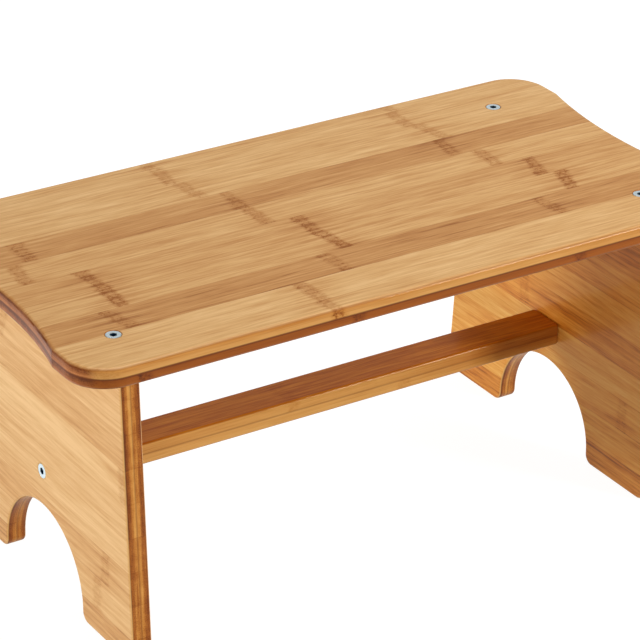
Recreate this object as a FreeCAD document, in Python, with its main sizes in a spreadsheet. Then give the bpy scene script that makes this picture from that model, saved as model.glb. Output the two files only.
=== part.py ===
import FreeCAD, Part

import math
import os

import Sketcher

# A low step stool of laminated bamboo: a waisted tread on two arched side panels, tied by one flat rail.
# Every board is two layers glued face to face. Screws go down through the tread into the top edges of the
# side panels, and in through the side panels into the ends of the rail, which two dowels at each end keep
# from turning.
# Frame: millimetres, +Z up, +X along the tread, the front at -Y. The origin is on the floor, mid-stool.

SIZES = {
    # tread
    "TreadLength": 454.0,  # over the rounded corners
    "TreadDepth": 230.0,  # front to back
    "TreadLayer": 6.5,  # thickness of each of its two layers
    "TreadCorner": 25.0,  # radius of the four corners, seen from above
    "TreadWaist": 9.0,  # how far each end curves in at its middle
    "WaistReach": 150.0,  # how long the curve in each end is, from front to back
    "TreadArris": 2.5,  # rounding of the top and bottom edges
    "StoolHeight": 200.0,  # floor to the top face
    # side panels
    "LeftOverhang": 31.0,  # from the tread's left end to the left panel's outer face
    "RightOverhang": 43.0,  # the same on the right, so the panels sit a little to the left
    "PanelLayer": 6.5,
    "HeadInset": 20.0,  # from the tread's long edge to the panel's edge, under the tread
    "FootInset": 7.0,  # the same at the floor, so the panel widens downwards
    "FootCorner": 6.5,  # radius of the corners of the feet
    "ArchRadius": 47.0,
    "ArchShoulder": 7.0,  # floor to the centre of the arch
    "PanelArris": 1.6,
    # rail
    "RailWidth": 27.0,
    "RailLayer": 7.0,
    "RailLevel": 77.0,  # floor to the glue line of the rail
    "RailCorner": 2.5,  # radius of the upright edges at its ends
    "RailArris": 1.6,
    # screws
    "ScrewInset": 17.5,  # from a panel's top corner to the screw in the tread
    "ScrewLength": 45.0,
    "ScrewHead": 9.0,
    "HeadRim": 0.3,  # straight rim above the cone of the head
    "HeadSink": 0.2,  # top of the head below the board's face
    "ScrewShank": 6.0,
    "ShankLength": 12.0,
    "ScrewCore": 4.4,
    "ScrewThread": 6.3,
    "ThreadPitch": 3.0,
    "ThreadCrest": 0.3,
    "TipLength": 3.0,
    "TipWidth": 2.0,
    "SocketWidth": 4.0,  # hexagon socket, across its flats
    "SocketDepth": 2.8,
    "ScrewGap": 0.2,  # between a screw and its bore, all round
    # dowels
    "DowelWidth": 5.0,
    "DowelLength": 24.0,
    "DowelSeat": 8.0,  # length in the side panel
    "DowelInset": 4.5,  # from the edge of the rail to the middle of the dowel
    "DowelChamfer": 0.6,
    "FluteWidth": 0.7,
    "DowelGap": 0.15,
    "EndGap": 1.0,  # beyond the tip of a screw or the end of a dowel
}
FLUTES = 10

SHARP = 1e-4

doc = FreeCAD.newDocument("StepStool")
sheet = doc.addObject("Spreadsheet::Sheet", "Sizes")
for row, (alias, number) in enumerate(SIZES.items(), start=1):
    sheet.set(f"A{row}", alias)
    sheet.set(f"B{row}", str(number))
    sheet.setAlias(f"B{row}", alias)
doc.recompute()


class Size:
    """A length as a number, for the first drawing, and as the formula that binds it to the sheet."""

    def __init__(self, number, formula):
        self.number = number
        self.formula = formula

    def joined(self, other, sign, number):
        formula = other.formula if isinstance(other, Size) else repr(other)
        return Size(number, f"({self.formula} {sign} {formula})")

    def __add__(self, other):
        return self.joined(other, "+", self.number + number_of(other))

    def __sub__(self, other):
        return self.joined(other, "-", self.number - number_of(other))

    def __mul__(self, other):
        return self.joined(other, "*", self.number * number_of(other))

    def __truediv__(self, other):
        return self.joined(other, "/", self.number / number_of(other))

    def __neg__(self):
        return self * -1

    def __rmul__(self, other):
        return self * other


def number_of(value):
    return value.number if isinstance(value, Size) else value


def size(alias):
    return Size(SIZES[alias], f"Sizes.{alias}")


def held_under(length, limit):
    """A rounding that stays under the width of what it rounds."""
    return Size(min(length.number, limit.number), f"min({length.formula}; {limit.formula})")


NONE = Size(0.0, "0")

# Where the pieces meet. The panels and the rail are placed from the middle between the panels.
tread_half_length = size("TreadLength") / 2
tread_half_depth = size("TreadDepth") / 2
tread_underside = size("StoolHeight") - 2 * size("TreadLayer")
middle = (size("LeftOverhang") - size("RightOverhang")) / 2
panel_outer = tread_half_length - (size("LeftOverhang") + size("RightOverhang")) / 2
panel_glue_line = panel_outer - size("PanelLayer")
panel_inner = panel_outer - 2 * size("PanelLayer")
panel_half_head = tread_half_depth - size("HeadInset")
panel_half_foot = tread_half_depth - size("FootInset")
tread_screw_y = panel_half_head - size("ScrewInset")
dowel_y = size("RailWidth") / 2 - size("DowelInset")

# Bores, from the pieces that go into them.
screw_bore = size("ScrewThread") + 2 * size("ScrewGap")
head_seat = size("ScrewHead") + 2 * (size("HeadSink") + size("HeadRim") + size("ScrewGap"))
screw_reach = size("ScrewLength") + size("HeadSink") + size("EndGap")
dowel_bore = size("DowelWidth") + 2 * size("DowelGap")

# Roundings, held under what they round.
tread_arris = held_under(size("TreadArris"), 0.8 * size("TreadLayer"))
panel_arris = held_under(size("PanelArris"), 0.8 * size("PanelLayer"))
rail_arris = held_under(size("RailArris"), 0.8 * size("RailCorner"))
foot_corner = held_under(size("FootCorner"), 0.95 * size("ArchShoulder"))


# Sketches and features.

def new_body(name):
    body = doc.addObject("PartDesign::Body", name)
    body.Label = name
    return body


def bind(thing, prop, length):
    thing.setExpression(prop, length.formula)


def set_on(body, x, y, z, turn=None):
    """Place a body, with its offsets bound to the sheet and an optional (axis, degrees) turn."""
    if turn:
        axis, degrees = turn
        body.Placement = FreeCAD.Placement(FreeCAD.Vector(), FreeCAD.Rotation(axis, degrees))
    for coordinate, length in zip("xyz", (x, y, z)):
        bind(body, f"Placement.Base.{coordinate}", length)


def sketch_on(body, name, role, offset=NONE):
    """A sketch on one of the body's own origin planes, moved along that plane's normal."""
    sketch = body.newObject("Sketcher::SketchObject", name)
    plane = next(item for item in body.Origin.OriginFeatures if item.Role == role)
    sketch.AttachmentSupport = (plane, [""])
    sketch.MapMode = "FlatFace"
    bind(sketch, "AttachmentOffset.Base.z", offset)
    return sketch


def hold(sketch, kind, geometry, point, length):
    """Hold one point of a sketch at a distance from the sketch's origin, along x or y."""
    index = sketch.addConstraint(Sketcher.Constraint(kind, -1, 1, geometry, point, length.number))
    bind(sketch, f"Constraints[{index}]", length)


def pin(sketch, geometry, point, x, y):
    """Hold one point of a sketch at x, y from the sketch's origin."""
    for kind, axis, length in (("DistanceX", -2, x), ("DistanceY", -1, y)):
        if abs(length.number) < SHARP:
            sketch.addConstraint(Sketcher.Constraint("PointOnObject", geometry, point, axis))
        else:
            hold(sketch, kind, geometry, point, length)


def set_radius(sketch, geometry, radius):
    index = sketch.addConstraint(Sketcher.Constraint("Radius", geometry, radius.number))
    bind(sketch, f"Constraints[{index}]", radius)


def point_at(x, y):
    return FreeCAD.Vector(x.number, y.number, 0)


def draw_polygon(sketch, corners):
    ends = corners[1:] + corners[:1]
    for start, end in zip(corners, ends):
        sketch.addGeometry(Part.LineSegment(point_at(*start), point_at(*end)))
    for edge, corner in enumerate(corners):
        previous = (edge - 1) % len(corners)
        sketch.addConstraint(Sketcher.Constraint("Coincident", previous, 2, edge, 1))
        pin(sketch, edge, 1, *corner)


def draw_circle(sketch, x, y, width):
    circle = Part.Circle(point_at(x, y), FreeCAD.Vector(0, 0, 1), width.number / 2)
    geometry = sketch.addGeometry(circle)
    pin(sketch, geometry, 3, x, y)
    set_radius(sketch, geometry, width / 2)


def draw_arc(sketch, centre, radius, start, end):
    """An arc drawn anticlockwise between two angles in radians."""
    circle = Part.Circle(point_at(*centre), FreeCAD.Vector(0, 0, 1), radius.number)
    geometry = sketch.addGeometry(Part.ArcOfCircle(circle, start, end))
    set_radius(sketch, geometry, radius)
    return geometry


def pad(body, sketch, length, both_ways=False):
    feature = body.newObject("PartDesign::Pad", f"{sketch.Name}Pad")
    feature.Profile = sketch
    feature.Midplane = both_ways
    bind(feature, "Length", length)
    return feature


def cut(body, sketch, depth=None, forwards=False):
    """Cut a sketch into the body, against the sketch's normal, or right through if no depth is given."""
    doc.recompute()
    before = body.Shape.Volume
    feature = body.newObject("PartDesign::Pocket", f"{sketch.Name}Cut")
    feature.Profile = sketch
    if depth is None:
        feature.Type = "ThroughAll"
        feature.Midplane = True
    else:
        feature.Reversed = forwards
        bind(feature, "Length", depth)
    doc.recompute()
    if body.Shape.Volume > before - SHARP:
        raise RuntimeError(f"{feature.Name} cuts nothing from {body.Label}")
    return feature


def dress(body, kind, name, edges, length):
    """Round (Fillet) or bevel (Chamfer) the edges that a test picks."""
    doc.recompute()
    base = body.Tip
    chosen = [f"Edge{i}" for i, edge in enumerate(base.Shape.Edges, start=1) if edges(edge)]
    if not chosen:
        raise RuntimeError(f"{name} finds no edge on {body.Label}")
    feature = body.newObject(f"PartDesign::{kind}", f"{body.Name}{name}")
    feature.Base = (base, chosen)
    bind(feature, "Radius" if kind == "Fillet" else "Size", length)
    return feature


def lies_on(edge, coordinate, length):
    """Whether all of an edge lies at one value of x, y or z."""
    box = edge.BoundBox
    low = getattr(box, f"{coordinate}Min")
    high = getattr(box, f"{coordinate}Max")
    return abs(low - length.number) < SHARP and abs(high - length.number) < SHARP


def runs_along_x(edge):
    start = edge.Vertexes[0].Point
    end = edge.Vertexes[-1].Point
    return (end - start).Length > SHARP and start.distanceToLine(end, FreeCAD.Vector(1, 0, 0)) < SHARP


def is_round(edge, width):
    is_circle = isinstance(edge.Curve, Part.Circle)
    return is_circle and abs(edge.Curve.Radius - width.number / 2) < SHARP


def sink_seats(body, coordinate, skin):
    """Bevel the mouths of the screw bores in one face at 45 degrees, to take the screws' heads."""
    dress(
        body,
        "Chamfer",
        "Seats",
        lambda edge: lies_on(edge, coordinate, skin) and is_round(edge, screw_bore),
        (head_seat - screw_bore) / 2,
    )


def drill(body, name, role, centres, width, start=NONE, depth=None, forwards=False):
    sketch = sketch_on(body, f"{body.Name}{name}", role, start)
    for x, y in centres:
        draw_circle(sketch, x, y, width)
    return cut(body, sketch, depth, forwards)


# The tread: round corners, and a shallow curve cut into the middle of each straight end.

def draw_tread_outline(sketch):
    """Straight edges tangent to the corner arcs, and waist arcs that meet the ends at a slight angle."""
    corner = size("TreadCorner")
    waist = size("TreadWaist")
    corner_x = tread_half_length - corner
    corner_y = tread_half_depth - corner
    half_reach = held_under(size("WaistReach") / 2, 0.95 * corner_y)
    waist_radius = (half_reach * half_reach + waist * waist) / (2 * waist)
    turn = math.asin(half_reach.number / waist_radius.number)
    quarter = math.pi / 2

    corners = {}
    for end, side, first in ((1, 1, 0), (-1, 1, 1), (-1, -1, 2), (1, -1, 3)):
        centre = (end * corner_x, side * corner_y)
        corners[end, side] = draw_arc(sketch, centre, corner, first * quarter, (first + 1) * quarter)
        pin(sketch, corners[end, side], 3, *centre)
    for side in (-1, 1):
        start = point_at(-side * corner_x, side * tread_half_depth)
        end = point_at(side * corner_x, side * tread_half_depth)
        long_edge = sketch.addGeometry(Part.LineSegment(start, end))
        for point, corner_end in ((1, -side), (2, side)):
            joint = Sketcher.Constraint("Tangent", long_edge, point, corners[corner_end, side], point)
            sketch.addConstraint(joint)
    centre_x = tread_half_length - waist + waist_radius
    for end in (-1, 1):
        first = 2 * quarter if end > 0 else 0
        waist_arc = draw_arc(sketch, (end * centre_x, NONE), waist_radius, first - turn, first + turn)
        for side in (-1, 1):
            outer = point_at(end * tread_half_length, side * corner_y)
            inner = point_at(end * tread_half_length, side * half_reach)
            straight = sketch.addGeometry(Part.LineSegment(outer, inner))
            arc_end = 1 if side == end else 2
            for joint in (
                ("Vertical", straight),
                ("Tangent", straight, 1, corners[end, side], arc_end),
                ("Coincident", straight, 2, waist_arc, arc_end),
            ):
                sketch.addConstraint(Sketcher.Constraint(*joint))
            hold(sketch, "DistanceY", straight, 2, side * half_reach)


def tread_layer(name, is_upper):
    body = new_body(name)
    thickness = size("TreadLayer")
    set_on(body, NONE, NONE, tread_underside + thickness if is_upper else tread_underside)
    outline = sketch_on(body, f"{name}Outline", "XY_Plane")
    draw_tread_outline(outline)
    pad(body, outline, thickness)
    skin = thickness if is_upper else NONE
    dress(body, "Fillet", "Arris", lambda edge: lies_on(edge, "Z", skin), tread_arris)
    centres = [(middle + x * panel_glue_line, y * tread_screw_y) for x in (-1, 1) for y in (-1, 1)]
    drill(body, "Bores", "XY_Plane", centres, screw_bore)
    if is_upper:
        sink_seats(body, "Z", skin)
    return body


# The side panels, drawn with x from the outer face inwards.

def draw_arch(sketch):
    """A round arch on short straight legs."""
    radius = size("ArchRadius")
    spring = size("ArchShoulder")
    arch = draw_arc(sketch, (NONE, spring), radius, 0, math.pi)
    pin(sketch, arch, 3, NONE, spring)
    corners = [(radius, spring), (radius, NONE), (-radius, NONE), (-radius, spring)]
    legs = [
        sketch.addGeometry(Part.LineSegment(point_at(*start), point_at(*end)))
        for start, end in zip(corners[:-1], corners[1:])
    ]
    outer_leg, floor, inner_leg = legs
    for kind, *joint in (
        ("Tangent", arch, 1, outer_leg, 1),
        ("Coincident", outer_leg, 2, floor, 1),
        ("Coincident", floor, 2, inner_leg, 1),
        ("Tangent", inner_leg, 2, arch, 2),
        ("Vertical", outer_leg),
        ("Vertical", inner_leg),
        ("PointOnObject", floor, 1, -1),
        ("PointOnObject", floor, 2, -1),
    ):
        sketch.addConstraint(Sketcher.Constraint(kind, *joint))


def panel_layer(name, side, is_outer):
    body = new_body(name)
    turn = (FreeCAD.Vector(0, 0, 1), 180) if side > 0 else None
    set_on(body, middle + side * panel_outer, NONE, NONE, turn)
    thickness = size("PanelLayer")
    glue_line = thickness
    inner_face = 2 * thickness
    start = NONE if is_outer else glue_line

    outline = sketch_on(body, f"{name}Outline", "YZ_Plane", start)
    draw_polygon(outline, [
        (-panel_half_foot, NONE),
        (panel_half_foot, NONE),
        (panel_half_head, tread_underside),
        (-panel_half_head, tread_underside),
    ])
    pad(body, outline, thickness)
    arch = sketch_on(body, f"{name}Arch", "YZ_Plane", start)
    draw_arch(arch)
    cut(body, arch)

    dress(
        body,
        "Fillet",
        "Feet",
        lambda edge: lies_on(edge, "Z", NONE) and runs_along_x(edge),
        foot_corner,
    )
    skin = NONE if is_outer else inner_face
    dress(
        body,
        "Fillet",
        "Arris",
        lambda edge: lies_on(edge, "X", skin) and not lies_on(edge, "Z", tread_underside),
        panel_arris,
    )

    rail_centre = (NONE, size("RailLevel"))
    drill(body, "RailScrewBore", "YZ_Plane", [rail_centre], screw_bore, start)
    if is_outer:
        sink_seats(body, "X", skin)
    tread_screws = [(glue_line, y * tread_screw_y) for y in (-1, 1)]
    depth = screw_reach - 2 * size("TreadLayer")
    drill(body, "TreadScrewBores", "XY_Plane", tread_screws, screw_bore, tread_underside, depth)
    dowels = [(y * dowel_y, size("RailLevel")) for y in (-1, 1)]
    depth = size("DowelSeat") + size("EndGap")
    drill(body, "DowelBores", "YZ_Plane", dowels, dowel_bore, inner_face, depth)
    return body


# The rail, lying flat between the panels, drawn from its glue line up or down.

def rail_layer(name, is_upper):
    body = new_body(name)
    set_on(body, middle, NONE, size("RailLevel"))
    thickness = size("RailLayer") if is_upper else -size("RailLayer")
    half_width = size("RailWidth") / 2
    section = sketch_on(body, f"{name}Section", "YZ_Plane")
    draw_polygon(section, [
        (-half_width, NONE),
        (half_width, NONE),
        (half_width, thickness),
        (-half_width, thickness),
    ])
    pad(body, section, 2 * panel_inner, both_ways=True)
    dress(body, "Fillet", "Corners", lambda edge: edge.BoundBox.ZLength > SHARP, size("RailCorner"))
    dress(body, "Fillet", "Arris", lambda edge: lies_on(edge, "Z", thickness), rail_arris)
    screw_depth = screw_reach - 2 * size("PanelLayer")
    dowel_depth = size("DowelLength") - size("DowelSeat") + size("EndGap")
    dowels = [(y * dowel_y, NONE) for y in (-1, 1)]
    for end, label in ((-1, "Left"), (1, "Right")):
        face = end * panel_inner
        inwards = end < 0
        drill(body, f"{label}ScrewBore", "YZ_Plane", [(NONE, NONE)], screw_bore, face, screw_depth, inwards)
        drill(body, f"{label}DowelBores", "YZ_Plane", dowels, dowel_bore, face, dowel_depth, inwards)
    return body


# Screws, drawn head up with the top of the head at z = 0.

def screw(name, x, y, z, turn=None):
    body = new_body(name)
    set_on(body, x, y, z, turn)
    head = size("ScrewHead") / 2
    shank = size("ScrewShank") / 2
    core = size("ScrewCore") / 2
    cone_end = -size("HeadRim") - (head - shank)
    shank_end = -size("ShankLength")
    taper_end = shank_end - (shank - core)
    tip_start = -(size("ScrewLength") - size("TipLength"))
    outline = sketch_on(body, f"{name}Outline", "XZ_Plane")
    draw_polygon(outline, [
        (NONE, NONE),
        (head, NONE),
        (head, -size("HeadRim")),
        (shank, cone_end),
        (shank, shank_end),
        (core, taper_end),
        (core, tip_start),
        (size("TipWidth") / 2, -size("ScrewLength")),
        (NONE, -size("ScrewLength")),
    ])
    turned = body.newObject("PartDesign::Revolution", f"{name}Turned")
    turned.Profile = outline
    turned.ReferenceAxis = (outline, ["V_Axis"])
    turned.Angle = 360

    # The thread's section starts above the tip and climbs to the end of the shank.
    crest = size("ScrewThread") / 2
    root = core * 0.95
    half_crest = size("ThreadCrest") / 2
    half_root = half_crest + (crest - root) * math.tan(math.radians(22))
    low = tip_start + half_root
    section = sketch_on(body, f"{name}ThreadSection", "XZ_Plane")
    draw_polygon(section, [
        (root, low - half_root),
        (crest, low - half_crest),
        (crest, low + half_crest),
        (root, low + half_root),
    ])
    thread = body.newObject("PartDesign::AdditiveHelix", f"{name}Thread")
    thread.Profile = section
    thread.ReferenceAxis = (section, ["V_Axis"])
    thread.Mode = "pitch-height-angle"
    bind(thread, "Pitch", size("ThreadPitch"))
    bind(thread, "Height", taper_end - low - half_root)

    across_corners = size("SocketWidth") * (1 / math.sqrt(3))
    socket = sketch_on(body, f"{name}Socket", "XY_Plane")
    sixth = math.pi / 3
    draw_polygon(socket, [
        (across_corners * math.cos(i * sixth), across_corners * math.sin(i * sixth)) for i in range(6)
    ])
    cut(body, socket, size("SocketDepth"))
    return body


# Dowels, drawn along x from the end in the side panel.

def dowel(name, side, y):
    body = new_body(name)
    turn = (FreeCAD.Vector(0, 0, 1), 180) if side > 0 else None
    set_on(body, middle + side * (panel_inner + size("DowelSeat")), y, size("RailLevel"), turn)
    section = sketch_on(body, f"{name}Section", "YZ_Plane")
    draw_circle(section, NONE, NONE, size("DowelWidth"))
    pad(body, section, size("DowelLength"))
    dress(body, "Chamfer", "Ends", lambda edge: is_round(edge, size("DowelWidth")), size("DowelChamfer"))
    flute = drill(body, "Flute", "YZ_Plane", [(size("DowelWidth") / 2, NONE)], size("FluteWidth"))
    flutes = body.newObject("PartDesign::PolarPattern", f"{name}Flutes")
    flutes.Originals = [flute]
    flutes.Axis = (flute.Profile[0], ["N_Axis"])
    flutes.Angle = 360
    flutes.Occurrences = FLUTES
    body.Tip = flutes
    return body


across = FreeCAD.Vector(0, 1, 0)
pieces = [
    tread_layer("tread_upper_layer", True),
    tread_layer("tread_lower_layer", False),
    rail_layer("rail_upper_layer", True),
    rail_layer("rail_lower_layer", False),
]
for side, side_name in ((-1, "left"), (1, "right")):
    pieces.append(panel_layer(f"{side_name}_side_outer_layer", side, True))
    pieces.append(panel_layer(f"{side_name}_side_inner_layer", side, False))
    sunk = middle + side * (panel_outer - size("HeadSink"))
    pieces.append(screw(f"rail_screw_{side_name}", sunk, NONE, size("RailLevel"), (across, side * 90)))
    for y, y_name in ((-1, "front"), (1, "back")):
        x = middle + side * panel_glue_line
        top = size("StoolHeight") - size("HeadSink")
        pieces.append(screw(f"tread_screw_{side_name}_{y_name}", x, y * tread_screw_y, top))
        pieces.append(dowel(f"rail_dowel_{side_name}_{y_name}", side, y * dowel_y))

doc.recompute()
for item in doc.Objects:
    if "Invalid" in item.State or "Error" in item.State:
        raise RuntimeError(f"{item.Name} did not build: {item.State}")
for piece in pieces:
    if piece.Shape.isNull() or not piece.Shape.isValid() or len(piece.Shape.Solids) != 1:
        raise RuntimeError(f"{piece.Label} has no sound solid")

os.makedirs("parts", exist_ok=True)
for piece in pieces:
    piece.Shape.exportStep(f"parts/{piece.Label}.step")
    box = piece.Shape.BoundBox
    print(f"{piece.Label}: {piece.Shape.Volume:.0f} mm3, z {box.ZMin:.2f} to {box.ZMax:.2f}")
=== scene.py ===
"""Step stool of laminated bamboo: its finishes, floor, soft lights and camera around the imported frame."""
from typing import NamedTuple

import bmesh
import bpy
from mathutils import Matrix, Vector


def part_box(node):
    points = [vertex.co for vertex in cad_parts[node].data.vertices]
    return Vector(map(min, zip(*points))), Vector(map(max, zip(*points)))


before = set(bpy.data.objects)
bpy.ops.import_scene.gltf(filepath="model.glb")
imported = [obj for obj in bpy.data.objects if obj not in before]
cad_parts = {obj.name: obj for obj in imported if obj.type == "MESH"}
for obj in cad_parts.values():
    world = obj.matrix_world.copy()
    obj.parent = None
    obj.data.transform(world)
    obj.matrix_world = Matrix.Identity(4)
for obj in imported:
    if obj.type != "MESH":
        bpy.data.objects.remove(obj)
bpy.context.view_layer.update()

MM = 0.001


# ------------------------------------------------------------------ small helpers for the finishes

def paint(red, green, blue):
    """A colour given as it looks on a screen, 0 to 255, turned into the linear values of a shader."""
    channels = [value / 255 for value in (red, green, blue)]
    linear = [c / 12.92 if c <= 0.04045 else ((c + 0.055) / 1.055) ** 2.4 for c in channels]
    return (*linear, 1.0)


def tones(*colours):
    """The tones of one surface, from its palest to its darkest."""
    return [paint(*colour) for colour in colours]


class Finish:
    """A material whose nodes are added one by one, each call giving back the new node's output."""

    def __init__(self, name):
        self.material = bpy.data.materials.new(name)
        self.material.use_nodes = True
        self.tree = self.material.node_tree
        self.shader = self.tree.nodes["Principled BSDF"]

    def put(self, socket, value):
        """Links an output to the socket, or sets the socket to a plain value."""
        if isinstance(value, bpy.types.NodeSocket):
            self.tree.links.new(value, socket)
        else:
            socket.default_value = value

    def node(self, kind, inputs=(), **settings):
        """Adds a node with its settings, then its inputs, which are named or numbered."""
        node = self.tree.nodes.new("ShaderNode" + kind)
        for key, value in settings.items():
            setattr(node, key, value)
        for key, value in dict(inputs).items():
            self.put(node.inputs[key], value)
        return node

    def surface(self, **values):
        """Puts values on the shader's own sockets. An underscore stands for a space."""
        for key, value in values.items():
            self.put(self.shader.inputs[key.replace("_", " ")], value)

    def calc(self, operation, *values):
        """One step of arithmetic."""
        return self.node("Math", enumerate(values), operation=operation).outputs[0]

    def chain(self, operation, values):
        """The same step of arithmetic from each value to the next."""
        total, *others = values
        for value in others:
            total = self.calc(operation, total, value)
        return total

    def add(self, *values):
        """The sum of all the values."""
        return self.chain("ADD", values)

    def times(self, *values):
        """The product of all the values."""
        return self.chain("MULTIPLY", values)

    def minus(self, value, taken):
        """What is left of a value when another is taken from it."""
        return self.calc("SUBTRACT", value, taken)

    def size(self, value):
        """A value without its sign."""
        return self.calc("ABSOLUTE", value)

    def swing(self, noise, amount):
        """Noise about 0.5 as a push up or down, times an amount."""
        return self.times(self.minus(noise, 0.5), amount)

    def point(self, x, y, z):
        """A vector from three numbers."""
        return self.node("CombineXYZ", enumerate((x, y, z))).outputs[0]

    def stretch(self, numbers, scales):
        """A vector from three numbers, each times its own scale."""
        return self.point(*(self.times(number, scale) for number, scale in zip(numbers, scales)))

    def scaled(self, vector, scale):
        """A vector times one number."""
        return self.node("VectorMath", {0: vector, 3: scale}, operation="SCALE").outputs[0]

    def split(self, vector):
        """The three numbers of a vector."""
        return self.node("SeparateXYZ", {0: vector}).outputs[:]

    def ramp(self, value, start, end, low=0.0, high=1.0):
        """Goes smoothly from low, where value is start, to high, where it is end."""
        if start > end:
            start, end, low, high = end, start, high, low
        inputs = {"Value": value, "From Min": start, "From Max": end, "To Min": low, "To Max": high}
        return self.node("MapRange", inputs, interpolation_type="SMOOTHSTEP").outputs[0]

    def noise(self, vector, detail=2.0, roughness=0.5, swirl=0.0):
        """Cloudy noise about 0.5."""
        inputs = {"Vector": vector, "Scale": 1.0, "Detail": detail, "Roughness": roughness}
        return self.node("TexNoise", {**inputs, "Distortion": swirl}).outputs["Fac"]

    def cells(self, vector):
        """How far each place is from the middle of its own random cell."""
        return self.node("TexVoronoi", {"Vector": vector, "Scale": 1.0}).outputs["Distance"]

    def mix(self, factor, first, second):
        """Mixes two colours."""
        inputs = {0: factor, 6: first, 7: second}
        return self.node("Mix", inputs, data_type="RGBA", blend_type="MIX").outputs[2]

    def chart(self, position, colours, steps=False):
        """Looks a colour up between evenly spaced ones, or in equal steps of one colour each."""
        node = self.node("ValToRGB", {0: position})
        node.color_ramp.interpolation = "CONSTANT" if steps else "LINEAR"
        stops = node.color_ramp.elements
        spaces = len(colours) if steps else len(colours) - 1
        while len(stops) < len(colours):
            stops.new(0.5)
        for index, colour in enumerate(colours):
            stops[index].position = index / spaces
        for stop, colour in zip(stops, colours):
            stop.color = colour
        return node.outputs[0]

    def bump(self, height, strength, distance):
        """A relief that stands up to distance high."""
        return self.node("Bump", {"Strength": strength, "Distance": distance, "Height": height}).outputs[0]

    def dress(self, *nodes):
        """Gives the finish to whole CAD pieces."""
        for name in nodes:
            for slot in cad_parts[name].material_slots:
                slot.material = self.material


# ------------------------------------------------------------------ bamboo boards

LAYER = 6.5 * MM  # thickness of one glued layer of a board

# how many of each pattern there are in a metre along the grain, across it and through the board
BROAD_BANDS = (5.0, 150.0, 150.0)
BANDS = (13.0, 330.0, 330.0)
STREAKS = (34.0, 620.0, 620.0)
BUNDLES = (14.0, 1500.0, 1500.0)
PATCHES = (12.0, 34.0, 34.0)
RAGGED_FIBRES = (60.0, 170.0, 170.0)
END_STREAKS = (30.0, 26.0, 620.0)

# the same for the fibres' slow wander, whose third number steps on from strip to strip
WANDER = (9.0, 24.0, 3.7)

# distances from a joint, a glue line or a knuckle's middle: where its look begins, and where it is full
JOINT_LINE = (0.45 * MM, 0.1 * MM)
GLUE_LINE = (0.9 * MM, 0.2 * MM)
KNUCKLE_BAND = (6.4 * MM, 2.6 * MM)
KNUCKLE_RIDGE = (2.4 * MM, 0.6 * MM)
KNUCKLE_SCAR = (2.0 * MM, 0.6 * MM)
KNUCKLE_STAIN = (26 * MM, 2 * MM)

KNUCKLE_RIM = 2.4 * MM  # from a knuckle's middle to the ridge on one side and the scar on the other
KNUCKLE_REACH = 0.25  # knuckle places are kept in the chart as a part of this much either way
FIBRE_WANDER = 6 * MM
KNUCKLE_RAGGEDNESS = 11 * MM

KNUCKLE_BROWN = paint(150, 84, 40)
GLUE_BROWN = paint(96, 38, 5)
WARM_SHEEN = (1.0, 0.70, 0.32, 1.0)


def charted(knuckle):
    """A knuckle's place along the grain as the chart keeps it, from 0 to 1."""
    return 0.5 + knuckle / (2 * KNUCKLE_REACH)


class Board(NamedTuple):
    """What the layers of a board share.

    order says which object axis runs along the grain, which across the strips and which through the board.
    glue_shade is how dark the glue line is, and arris is how strong the tone of the rounded arrises is, and
    that tone, which on the side panels is a painted highlight. The last field is painted shade: how much
    darker the edges are toward the right end, where the right side panel shades the rail.
    """
    order: str
    strip_width: float
    first_joint: float
    glue_line: float
    glue_shade: float
    arris: tuple
    right_end_painted_shade: float = 0.0


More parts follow.
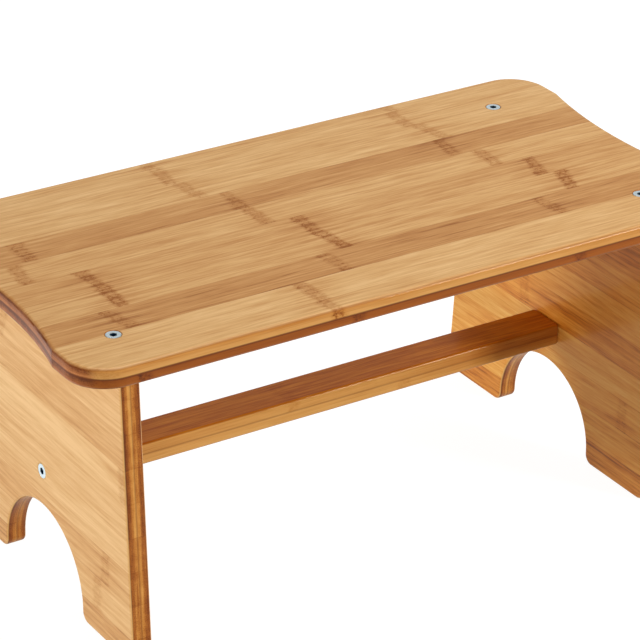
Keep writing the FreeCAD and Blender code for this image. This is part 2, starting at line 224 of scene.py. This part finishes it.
class Bamboo(Finish):
    """One layer of a board: strips of bamboo glued edge to edge.

    Each strip is its shade from pale 0 to dark 1, how far its dense skin lies away from the glue line, how
    strong its knuckles are, and then the three places along the grain where they are.
    """

    def __init__(self, name, board, strips, face_tones, edge_tones, end_tones):
        super().__init__(name)
        coordinates = self.node("TexCoord")
        place = self.split(coordinates.outputs["Object"])
        facing = self.split(coordinates.outputs["Normal"])
        axes = ["XYZ".index(axis) for axis in board.order]
        self.along, self.across, self.through = (place[axis] for axis in axes)
        end_on, edge_on, face_on = (self.size(facing[axis]) for axis in axes)

        self.lay_strips(board, strips)
        self.grow_fibres()
        self.set_knuckles(board)
        face = self.face(face_tones)
        on_end = self.ramp(self.minus(end_on, edge_on), -0.25, 0.25)
        sides = self.sides(board, on_end, edge_tones, end_tones)
        wood = self.mix(self.ramp(face_on, 0.45, 0.8), sides, face)

        # lacquer gathers on the arrises, which also take another tone: darker on the tread and rail, and a
        # painted highlight on the side panels
        arris = self.times(self.ramp(face_on, 0.3, 0.6), self.ramp(face_on, 0.98, 0.78))
        arris_strength, arris_tone_and_highlight = board.arris
        wood = self.mix(self.times(arris, arris_strength), wood, arris_tone_and_highlight)
        coat = self.add(0.14, self.times(arris, self.ramp(facing[2], 0.1, 0.6), 0.8))

        self.surface(Base_Color=wood, Roughness=self.roughness(), Normal=self.relief(),
                     Specular_IOR_Level=0.3, Specular_Tint=WARM_SHEEN, Coat_Weight=coat, Coat_Roughness=0.1)

    def lay_strips(self, board, strips):
        """Which strip a place is in, where in it, how near a glued joint, and that strip's own look."""
        position = self.calc("DIVIDE", self.minus(self.across, board.first_joint), board.strip_width)
        self.strip = self.calc("FLOOR", position)
        self.in_strip = self.minus(position, self.strip)
        nearest = self.calc("MINIMUM", self.in_strip, self.minus(1.0, self.in_strip))
        self.joint = self.ramp(self.times(nearest, board.strip_width), *JOINT_LINE)
        lookup = self.calc("DIVIDE", self.add(self.strip, 0.5), float(len(strips)))
        looks = [(*row[:3], 1.0) for row in strips]
        places = [(*(charted(knuckle) for knuckle in sorted(row[3:])), 1.0) for row in strips]
        self.shade, self.skin, self.strength = self.split(self.chart(lookup, looks, steps=True))
        self.knuckle_places = self.split(self.chart(lookup, places, steps=True))

    def grow_fibres(self):
        """Bands, streaks and bundles of fibres, which wander a little and are others in each strip."""
        wander = self.noise(self.stretch((self.along, self.across, self.strip), WANDER), 1.0)
        wander = self.times(wander, FIBRE_WANDER)
        self.fibre_across = self.add(self.times(self.strip, 0.731), self.across, wander)
        fibres = (self.along, self.fibre_across, self.through)
        self.broad = self.noise(self.stretch(fibres, BROAD_BANDS), 2.0)
        self.bands = self.noise(self.stretch(fibres, BANDS), 2.0)
        self.streaks = self.noise(self.stretch(fibres, STREAKS), 3.0, 0.65)
        self.bundles = self.ramp(self.cells(self.stretch(fibres, BUNDLES)), 0.48, 0.16)
        self.patches = self.noise(self.stretch((self.along, self.across, self.through), PATCHES), 2.0)

    def from_knuckle(self):
        """How far a place lies along the grain from the nearest of its strip's three knuckles."""
        low, mid, high = self.knuckle_places
        along = self.add(self.times(self.along, 0.5 / KNUCKLE_REACH), 0.5)
        past_first = self.calc("GREATER_THAN", along, self.times(self.add(low, mid), 0.5))
        past_second = self.calc("GREATER_THAN", along, self.times(self.add(mid, high), 0.5))
        to_mid = self.times(self.minus(mid, low), past_first)
        to_high = self.times(self.minus(high, mid), past_second)
        return self.times(self.minus(along, self.add(low, to_mid, to_high)), 2 * KNUCKLE_REACH)

    def set_knuckles(self, board):
        """Mottled brown bands that lean a little, with a dark rim on each side and a stain beside them."""
        lean = self.noise(self.point(self.times(self.strip, 5.3), 0.4, self.times(self.along, 14.0)), 0.0)
        slant = self.times(self.minus(lean, 0.5), self.minus(self.in_strip, 0.5), 1.2, board.strip_width)
        ragged = self.noise(self.stretch((self.along, self.across, self.through), RAGGED_FIBRES), 5.0, 0.75)
        offset = self.add(self.from_knuckle(), slant, self.swing(ragged, KNUCKLE_RAGGEDNESS))
        away = self.size(offset)

        # the flecks lie aslant to the grain
        turned_along = self.add(self.times(self.along, 300.0), self.times(self.fibre_across, 200.0))
        turned_across = self.minus(self.times(self.fibre_across, 480.0), self.times(self.along, 160.0))
        turned = self.point(turned_along, turned_across, self.times(self.through, 480.0))
        flecks = self.noise(turned, 4.0, 0.75, 0.9)

        band = self.times(self.ramp(away, *KNUCKLE_BAND), self.strength)
        ridge = self.ramp(self.size(self.add(offset, KNUCKLE_RIM)), *KNUCKLE_RIDGE)
        scar = self.ramp(self.size(self.add(offset, -KNUCKLE_RIM)), *KNUCKLE_SCAR, 0.0, 0.6)
        rims = self.calc("MAXIMUM", ridge, scar)
        stain = self.ramp(away, *KNUCKLE_STAIN)
        self.knuckle = self.times(band, self.ramp(flecks, 0.38, 0.6, 0.4, 1.0))
        self.rims = self.times(rims, self.ramp(flecks, 0.46, 0.6), self.strength)
        self.stain = self.times(stain, self.ramp(self.bands, 0.38, 0.62), self.strength)

    def face(self, face_tones):
        """The wide face, pale straw to brown."""
        shade = self.add(
            self.shade,
            self.swing(self.broad, 0.45),
            self.swing(self.bands, 0.60),
            self.swing(self.streaks, 1.05),
            self.swing(self.patches, 0.28),
            self.times(self.bundles, 0.10),
            self.times(self.knuckle, self.minus(1.0, self.times(self.shade, 0.7)), 0.26),
            self.times(self.rims, 0.24),
            self.times(self.stain, 0.20),
            self.times(self.joint, 0.10),
        )
        return self.mix(self.times(self.knuckle, 0.26), self.chart(shade, face_tones), KNUCKLE_BROWN)

    def sides(self, board, on_end, edge_tones, end_tones):
        """Edges and end grain: a strip is dense skin on one side and pale pith on the other."""
        from_glue = self.size(self.minus(self.through, board.glue_line))
        depth = self.ramp(from_glue, 0.0, LAYER)
        skin_outward = self.minus(self.times(self.skin, 2.0), 1.0)
        toward_skin = self.add(self.times(depth, skin_outward), self.minus(1.0, self.skin))
        edge = self.chart(self.edge_shade(toward_skin, board.right_end_painted_shade), edge_tones)
        end = self.chart(self.end_shade(toward_skin), end_tones)
        glue = self.ramp(from_glue, *GLUE_LINE, 0.0, board.glue_shade)
        return self.mix(glue, self.mix(on_end, edge, end), GLUE_BROWN)

    def edge_shade(self, toward_skin, right_end_painted_shade):
        """How dark a long edge is."""
        return self.add(
            self.times(self.shade, 0.35),
            self.times(toward_skin, 0.42),
            self.swing(self.broad, 0.45),
            self.swing(self.streaks, 0.30),
            self.times(self.knuckle, 0.50),
            self.times(self.rims, 0.45),
            self.times(self.bundles, 0.12),
            # painted shade: the edges darken toward the right end, where the right side panel shades the
            # rail
            self.times(self.ramp(self.along, 0.02, 0.16), right_end_painted_shade),
        )

    def end_shade(self, toward_skin):
        """How dark the end grain is."""
        streaks = self.noise(self.stretch((self.along, self.across, self.through), END_STREAKS), 3.0, 0.6)
        return self.add(
            self.times(self.shade, 0.18),
            self.times(toward_skin, 0.80),
            self.swing(self.broad, 0.40),
            self.swing(streaks, 0.90),
            self.swing(self.patches, 0.30),
            self.times(self.bundles, self.ramp(toward_skin, 0.0, 1.0, 0.12, 0.42)),
            self.times(self.joint, 0.08),
        )

    def roughness(self):
        """Lacquered wood, less smooth on the streaks and knuckles."""
        return self.add(0.38, self.times(self.streaks, 0.12), self.times(self.knuckle, 0.14),
                        self.times(self.patches, 0.06))

    def relief(self):
        """Streaks stand a little proud, and bundles, knuckles and joints are sunk."""
        height = self.add(
            self.times(self.streaks, 0.35),
            self.times(self.bundles, -0.30),
            self.times(self.knuckle, -0.5),
            self.times(self.rims, -0.6),
            self.times(self.joint, -0.6),
        )
        return self.bump(height, 0.35, 0.12 * MM)


# shade, skin, strength of the knuckles and their places along the grain, from the front or lowest strip on
TREAD_STRIPS = [
    (0.20, 0.8, 0.80, -0.241, -0.065, 0.214),
    (0.20, 0.8, 0.95, -0.241, -0.067, 0.214),
    (0.62, 0.8, 0.75, -0.178, -0.034, 0.120),
    (0.34, 0.8, 1.45, -0.167, -0.019, 0.151),
    (0.42, 0.8, 1.20, -0.167, -0.021, 0.146),
    (0.30, 0.8, 0.90, -0.199, -0.040, 0.128),
    (0.58, 0.8, 0.80, -0.184, -0.041, 0.115),
    (0.22, 0.8, 0.60, -0.221, -0.056, 0.121),
    (0.22, 0.8, 0.70, -0.225, -0.060, 0.114),
    (0.24, 0.8, 0.70, -0.225, -0.060, 0.114),
]
UNDER_STRIPS = [
    (0.60, 0.15, 0.5, -0.190, -0.052, 0.105),
    (0.35, 0.15, 0.8, -0.150, 0.012, 0.171),
    (0.30, 0.15, 0.9, -0.158, -0.004, 0.160),
    (0.55, 0.15, 0.7, -0.205, -0.060, 0.092),
    (0.28, 0.15, 0.8, -0.120, 0.030, 0.185),
    (0.42, 0.15, 1.0, -0.182, -0.024, 0.140),
    (0.26, 0.15, 0.8, -0.135, 0.020, 0.178),
    (0.52, 0.15, 0.7, -0.210, -0.071, 0.088),
    (0.33, 0.15, 0.9, -0.166, -0.010, 0.150),
    (0.44, 0.15, 0.8, -0.140, 0.015, 0.168),
]
SIDE_OUTER_STRIPS = [
    (0.62, 0.74, 0.40, -0.180, 0.075, 0.240),
    (0.30, 0.70, 0.45, -0.066, 0.090, 0.230),
    (0.46, 0.72, 0.45, -0.076, 0.085, 0.230),
    (0.24, 0.72, 0.40, -0.160, 0.075, 0.230),
    (0.30, 0.92, 0.40, -0.160, 0.085, 0.230),
    (0.14, 1.00, 0.70, -0.098, 0.062, 0.230),
    (0.44, 1.00, 0.50, -0.160, 0.072, 0.230),
    (0.30, 1.00, 0.50, -0.160, 0.045, 0.230),
    (0.34, 1.00, 0.50, -0.160, 0.040, 0.230),
]
SIDE_INNER_STRIPS = [
    (0.66, 0.78, 0.4, -0.160, 0.010, 0.180),
    (0.44, 0.78, 0.5, -0.150, 0.020, 0.190),
    (0.46, 0.80, 0.4, -0.082, 0.125, 0.240),
    (0.34, 0.80, 0.5, -0.148, 0.008, 0.170),
    (0.56, 0.90, 0.4, -0.130, 0.026, 0.184),
    (0.42, 0.80, 0.4, -0.118, 0.036, 0.190),
    (0.52, 0.75, 0.5, -0.126, 0.030, 0.186),
    (0.66, 0.75, 0.5, -0.150, 0.006, 0.164),
    (0.60, 0.75, 0.5, -0.152, 0.010, 0.168),
]
# the upper strip is darker partly by its own tone and partly as painted shade on its top, under the tread
RAIL_STRIPS = {
    "upper": [(0.50, 0.50, 0.2, -0.240, -0.030, 0.210)],
    "lower": [(0.12, 0.35, 0.2, -0.240, 0.050, 0.220)],
}

TREAD_TONES = tones((228, 186, 128), (214, 167, 107), (200, 147, 87), (186, 129, 70), (146, 86, 32))
SIDE_TONES = tones((243, 201, 142), (232, 187, 127), (220, 169, 107), (203, 146, 84), (154, 98, 46))
# the inner faces are partly their own warmer colour and partly painted shade: deeper and more saturated, as
# they look shaded under the tread
INNER_TONES = tones((253, 204, 118), (244, 185, 93), (231, 159, 65), (206, 124, 36), (142, 70, 11))
RAIL_TONES = tones((225, 156, 52), (209, 134, 34), (191, 111, 21), (168, 88, 10), (134, 62, 4))
EDGE_AMBER = tones((236, 180, 98), (220, 156, 72), (202, 132, 50), (178, 102, 28), (132, 66, 8))
EDGE_STRAW = tones((227, 180, 110), (209, 155, 84), (188, 129, 60), (168, 98, 32), (128, 65, 9))
EDGE_GOLD = tones((222, 170, 102), (204, 146, 77), (184, 121, 54), (158, 92, 30), (116, 56, 9))
EDGE_RED = tones((188, 119, 38), (167, 96, 24), (146, 75, 12), (118, 53, 4), (82, 31, 2))
END_BROWN = tones((226, 166, 88), (203, 136, 60), (166, 95, 30), (126, 60, 12), (100, 43, 8))
END_DARK = tones((200, 134, 78), (176, 108, 58), (146, 82, 38), (112, 54, 18), (72, 27, 6))

DARK_ARRIS = (0.45, paint(140, 72, 14))
# a painted highlight: the side panels' arrises are mixed toward a pale line, as if lit
PAINTED_ARRIS_HIGHLIGHT = (0.55, paint(248, 202, 134))

RAIL_WIDTH = 27 * MM


def glue_line(first, second, axis):
    """Where along an object axis two layers of the same thickness meet."""
    return sum(corner["XYZ".index(axis)] for piece in (first, second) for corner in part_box(piece)) / 4


def tread_boards():
    """The tread: a pale upper layer on a lower one that is redder in its edge."""
    glue = glue_line("tread_upper_layer", "tread_lower_layer", "Z")
    board = Board(order="XYZ", strip_width=25.65 * MM, first_joint=-127.05 * MM, glue_line=glue,
                  glue_shade=0.85, arris=DARK_ARRIS)
    upper = Bamboo("tread_top_bamboo", board, TREAD_STRIPS, TREAD_TONES, EDGE_GOLD, END_DARK)
    upper.dress("tread_upper_layer")
    under = Bamboo("tread_under_bamboo", board, UNDER_STRIPS, TREAD_TONES, EDGE_RED, END_DARK)
    under.dress("tread_lower_layer")


def side_boards(side):
    """A side panel: an outer layer, and an inner one whose warmer face is partly its own colour and partly
    painted shade. Its strips run level.
    """
    glue = glue_line(f"{side}_side_outer_layer", f"{side}_side_inner_layer", "X")
    # the side panels' arrises carry a painted highlight
    board = Board(order="YZX", strip_width=21.55 * MM, first_joint=-4.25 * MM, glue_line=glue,
                  glue_shade=0.4, arris=PAINTED_ARRIS_HIGHLIGHT)
    outer = Bamboo(f"side_outer_bamboo_{side}", board, SIDE_OUTER_STRIPS, SIDE_TONES, EDGE_AMBER,
                   END_BROWN)
    outer.dress(f"{side}_side_outer_layer")
    inner = Bamboo(f"side_inner_bamboo_{side}", board, SIDE_INNER_STRIPS, INNER_TONES, EDGE_AMBER,
                   END_BROWN)
    inner.dress(f"{side}_side_inner_layer")


def rail_boards():
    """The rail: two layers, each a single strip wide."""
    glue = glue_line("rail_upper_layer", "rail_lower_layer", "Z")
    # painted shade darkens the rail's edges toward its right end, where the right side panel shades it
    board = Board(order="XYZ", strip_width=RAIL_WIDTH, first_joint=-RAIL_WIDTH / 2, glue_line=glue,
                  glue_shade=0.35, arris=DARK_ARRIS, right_end_painted_shade=0.36)
    for layer, strips in RAIL_STRIPS.items():
        wood = Bamboo(f"rail_{layer}_bamboo", board, strips, RAIL_TONES, EDGE_STRAW, END_BROWN)
        wood.dress(f"rail_{layer}_layer")


tread_boards()
side_boards("left")
side_boards("right")
rail_boards()


# ------------------------------------------------------------------ screws and dowels

# where the painted shade in a screw's socket begins and where it is full: out from the screw's axis, and
# down
SOCKET_WALL = (2.42 * MM, 2.32 * MM)
SOCKET_DEPTH = (0.1 * MM, 0.9 * MM)

# the colour of the painted shade down in the screws' sockets
PAINTED_SOCKET_SHADE = paint(44, 92, 128)
ZINC_TONES = tones((184, 214, 230), (206, 229, 240), (226, 240, 246), (242, 249, 251))

DOWEL_TONES = tones((236, 208, 164), (222, 188, 140), (202, 164, 116), (160, 118, 76))
DOWEL_GRAIN = (90.0, 1400.0, 1400.0)
DOWEL_PORES = (260.0, 2600.0, 2600.0)


def zinc(screw, order):
    """Bright zinc plate, finely brushed and smudged, with painted shade down in the hexagon socket.

    order says which object axes run across the head, and then which one along the screw.
    """
    f = Finish(f"{screw}_zinc")
    low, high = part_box(screw)
    place = f.node("TexCoord").outputs["Object"]
    *across, along = ("XYZ".index(axis) for axis in order)
    axes = f.split(place)
    off_axis = [f.minus(axes[axis], (low[axis] + high[axis]) / 2) for axis in across]
    radius = f.calc("SQRT", f.add(*(f.times(value, value) for value in off_axis)))
    head = low[along] if screw.endswith("screw_left") else high[along]
    depth = f.size(f.minus(axes[along], head))
    # painted shade: the socket's hollow is coloured dark blue
    socket = f.times(f.ramp(radius, *SOCKET_WALL), f.ramp(depth, *SOCKET_DEPTH))
    brushing = f.noise(f.scaled(place, 2600.0), 3.0, 0.6)
    smudge = f.noise(f.scaled(place, 420.0), 2.0)
    plate = f.chart(f.add(f.times(smudge, 0.7), f.times(brushing, 0.3)), ZINC_TONES)
    roughness = f.add(0.2, f.times(smudge, 0.16), f.times(socket, 0.3))
    f.surface(Base_Color=f.mix(socket, plate, PAINTED_SOCKET_SHADE), Metallic=1.0, Roughness=roughness,
              Normal=f.bump(brushing, 0.2, 0.02 * MM))
    return f


def dowel_wood():
    """Bare turned wood with short pores along the dowel."""
    f = Finish("dowel_wood")
    place = f.split(f.node("TexCoord").outputs["Object"])
    grain = f.noise(f.stretch(place, DOWEL_GRAIN), 3.0, 0.6)
    pores = f.ramp(f.cells(f.stretch(place, DOWEL_PORES)), 0.3, 0.1)
    colour = f.chart(f.add(grain, f.times(pores, 0.3)), DOWEL_TONES)
    roughness = f.add(0.62, f.times(grain, 0.15))
    f.surface(Base_Color=colour, Roughness=roughness, Normal=f.bump(f.minus(grain, pores), 0.4, 0.05 * MM))
    return f


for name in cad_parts:
    if "_screw_" in name:
        zinc(name, "XYZ" if name.startswith("tread") else "YZX").dress(name)
dowel_wood().dress(*(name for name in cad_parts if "_dowel_" in name))


# ------------------------------------------------------------------ floor, lights and camera

FLOOR_REACH = 20.0  # from the floor's middle to its sides
FLOOR_GREYS = tones((108, 108, 107), (114, 114, 113))

STOOL_MIDDLE = (0, 0, 0.1)
WHITE = (1.0, 1.0, 1.0)
COOL = (1.0, 1.01, 1.09)
STRAW = (1.0, 0.94, 0.74)
AMBER = (1.0, 0.78, 0.52)
WARM_AIR = (1.0, 0.93, 0.82, 1.0)

CAMERA_PLACE = (-0.958256, -1.469199, 1.017512)
CAMERA_BACK = (-0.485918, -0.747291, 0.453199)  # the way from the stool to the camera
CAMERA_ROLL = 0.018828  # radians
SENSOR_WIDTH = 36.0  # this and the focal length in millimetres
FOCAL_LENGTH = 181.42


def studio_floor():
    """A wide pale floor, finely mottled, that glows a little so that shadows on it stay soft."""
    f = Finish("studio_floor")
    mottle = f.noise(f.scaled(f.node("TexCoord").outputs["Object"], 6.0), 3.0)
    f.surface(Base_Color=f.chart(mottle, FLOOR_GREYS), Roughness=0.8,
              Emission_Color=(*WHITE, 1.0), Emission_Strength=0.95)
    mesh = bpy.data.meshes.new("studio_floor")
    shape = bmesh.new()
    bmesh.ops.create_grid(shape, x_segments=1, y_segments=1, size=FLOOR_REACH)
    shape.to_mesh(mesh)
    shape.free()
    mesh.materials.append(f.material)
    floor = bpy.data.objects.new("studio_floor", mesh)
    bpy.context.scene.collection.objects.link(floor)
    floor.visible_diffuse = False


def soft_light(name, place, width, height, power, colour=WHITE, target=STOOL_MIDDLE, shine=True):
    """A rectangular softbox turned towards the target. Without shine it lights things but isn't mirrored."""
    light = bpy.data.lights.new(name, "AREA")
    light.color = colour
    light.shape = "RECTANGLE"
    light.size = width
    light.size_y = height
    light.energy = power
    box = bpy.data.objects.new(name, light)
    box.location = place
    box.visible_glossy = shine
    box.rotation_euler = (Vector(target) - Vector(place)).to_track_quat("-Z", "Y").to_euler()
    bpy.context.scene.collection.objects.link(box)


def studio_lights():
    """Soft light from overhead, the left, the front, low down and behind.

    The strong ones have no shine, because lacquer mirrors them from low angles and burns out to white.
    """
    soft_light("overhead_softbox", (0.3, 0.2, 2.4), 1.8, 1.8, 24, COOL)
    soft_light("left_softbox", (-3.3, 1.02, 0.45), 0.7, 0.5, 67, shine=False)
    soft_light("front_softbox", (1.08, -1.38, 0.88), 0.34, 0.34, 17.5, shine=False)
    soft_light("arris_light", (1.04, -1.38, 0.88), 0.36, 0.36, 7.5, STRAW)
    soft_light("low_fill", (-1.2, -1.75, 0.35), 0.8, 0.5, 9, AMBER, target=(0.1, 0, 0.1), shine=False)
    soft_light("back_reflector", (1.3, 2.0, 1.2), 1.6, 1.0, 2.6)


def studio_air():
    """A little warm light from all round, and colours shown plainly."""
    world = bpy.data.worlds.new("studio_air")
    world.use_nodes = True
    background = world.node_tree.nodes["Background"]
    background.inputs["Color"].default_value = WARM_AIR
    background.inputs["Strength"].default_value = 0.26
    bpy.context.scene.world = world
    bpy.context.scene.view_settings.view_transform = "Standard"


def camera():
    """A long lens, rolled about a degree, that crops the stool as a close product view does."""
    lens = bpy.data.cameras.new("camera")
    lens.sensor_width = SENSOR_WIDTH
    lens.lens = FOCAL_LENGTH
    view = bpy.data.objects.new("camera", lens)
    back = Vector(CAMERA_BACK).normalized()
    level = Vector((0, 0, 1)).cross(back).normalized()
    turn = Matrix((level, back.cross(level), back)).transposed()
    roll = Matrix.Rotation(CAMERA_ROLL, 4, "Z")
    view.matrix_world = Matrix.Translation(CAMERA_PLACE) @ turn.to_4x4() @ roll
    bpy.context.scene.collection.objects.link(view)
    bpy.context.scene.camera = view


studio_floor()
studio_lights()
studio_air()
camera()
